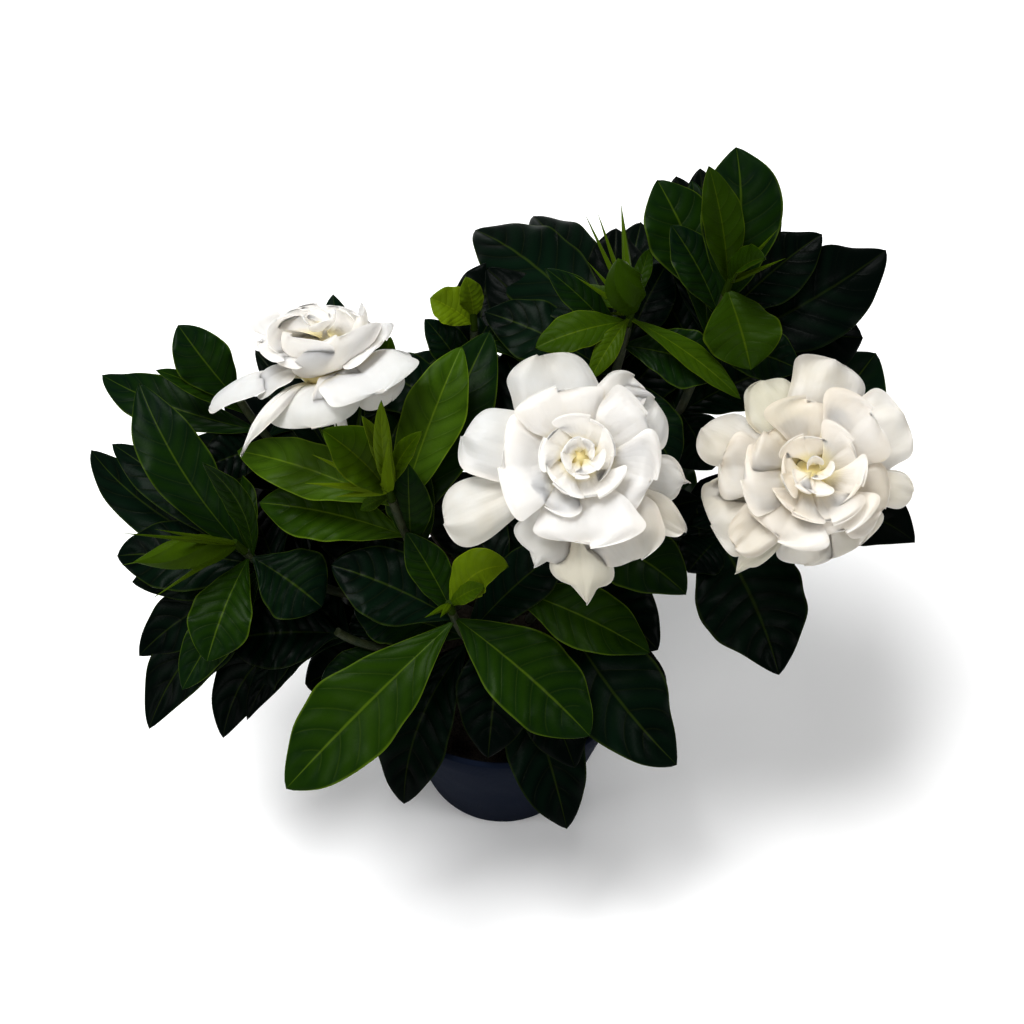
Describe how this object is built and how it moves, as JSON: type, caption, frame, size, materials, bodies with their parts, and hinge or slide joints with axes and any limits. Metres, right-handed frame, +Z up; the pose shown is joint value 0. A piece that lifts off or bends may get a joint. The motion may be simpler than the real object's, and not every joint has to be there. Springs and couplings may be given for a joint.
{
  "type": "potted gardenia",
  "caption": "Small gardenia with open white double flowers, glossy dark leaves and pale young tips, growing in a round tapered dark plastic nursery pot.",
  "frame": {"origin": "centre of the pot's flat base, on the surface that it stands on", "axes": "+Z up, +X to the right and +Y away from the side that the picture shows"},
  "size_m": [0.2959, 0.2104, 0.2523],
  "materials": {
    "pot": "satin moulded dark slate plastic",
    "soil": "dark damp potting mix",
    "wood": "thin rough grey-brown bark",
    "leaf": "glossy dark green leaf with paler veins",
    "young": "soft satin yellow-green young leaf",
    "petal": "waxy matt white petal, cream in the folds"
  },
  "bodies": {
    "root": {"pot": "pot", "soil": "soil", "woody_stems": "wood", "bloom_left_bloom": "petal", "calyx_left_bloom": "young", "bloom_centre": "petal", "calyx_centre": "young", "bloom_right": "petal", "calyx_right": "young", "shoot_front": "leaf", "tip_front": "young", "shoot_mid_left": "leaf", "tip_mid_left": "young", "shoot_under": "leaf", "shoot_left": "leaf", "tip_left": "young", "shoot_upper_left": "leaf", "shoot_left_bloom": "leaf", "shoot_centre": "leaf", "shoot_top": "leaf", "tip_top": "young", "shoot_top_right": "leaf", "tip_top_right": "young", "shoot_right": "leaf", "shoot_behind": "leaf", "tip_behind": "young", "shoot_low_left": "leaf", "shoot_back_left": "leaf", "tip_back_left": "young", "shoot_back_right": "leaf", "tip_back_right": "young"}
  },
  "joints": []
}
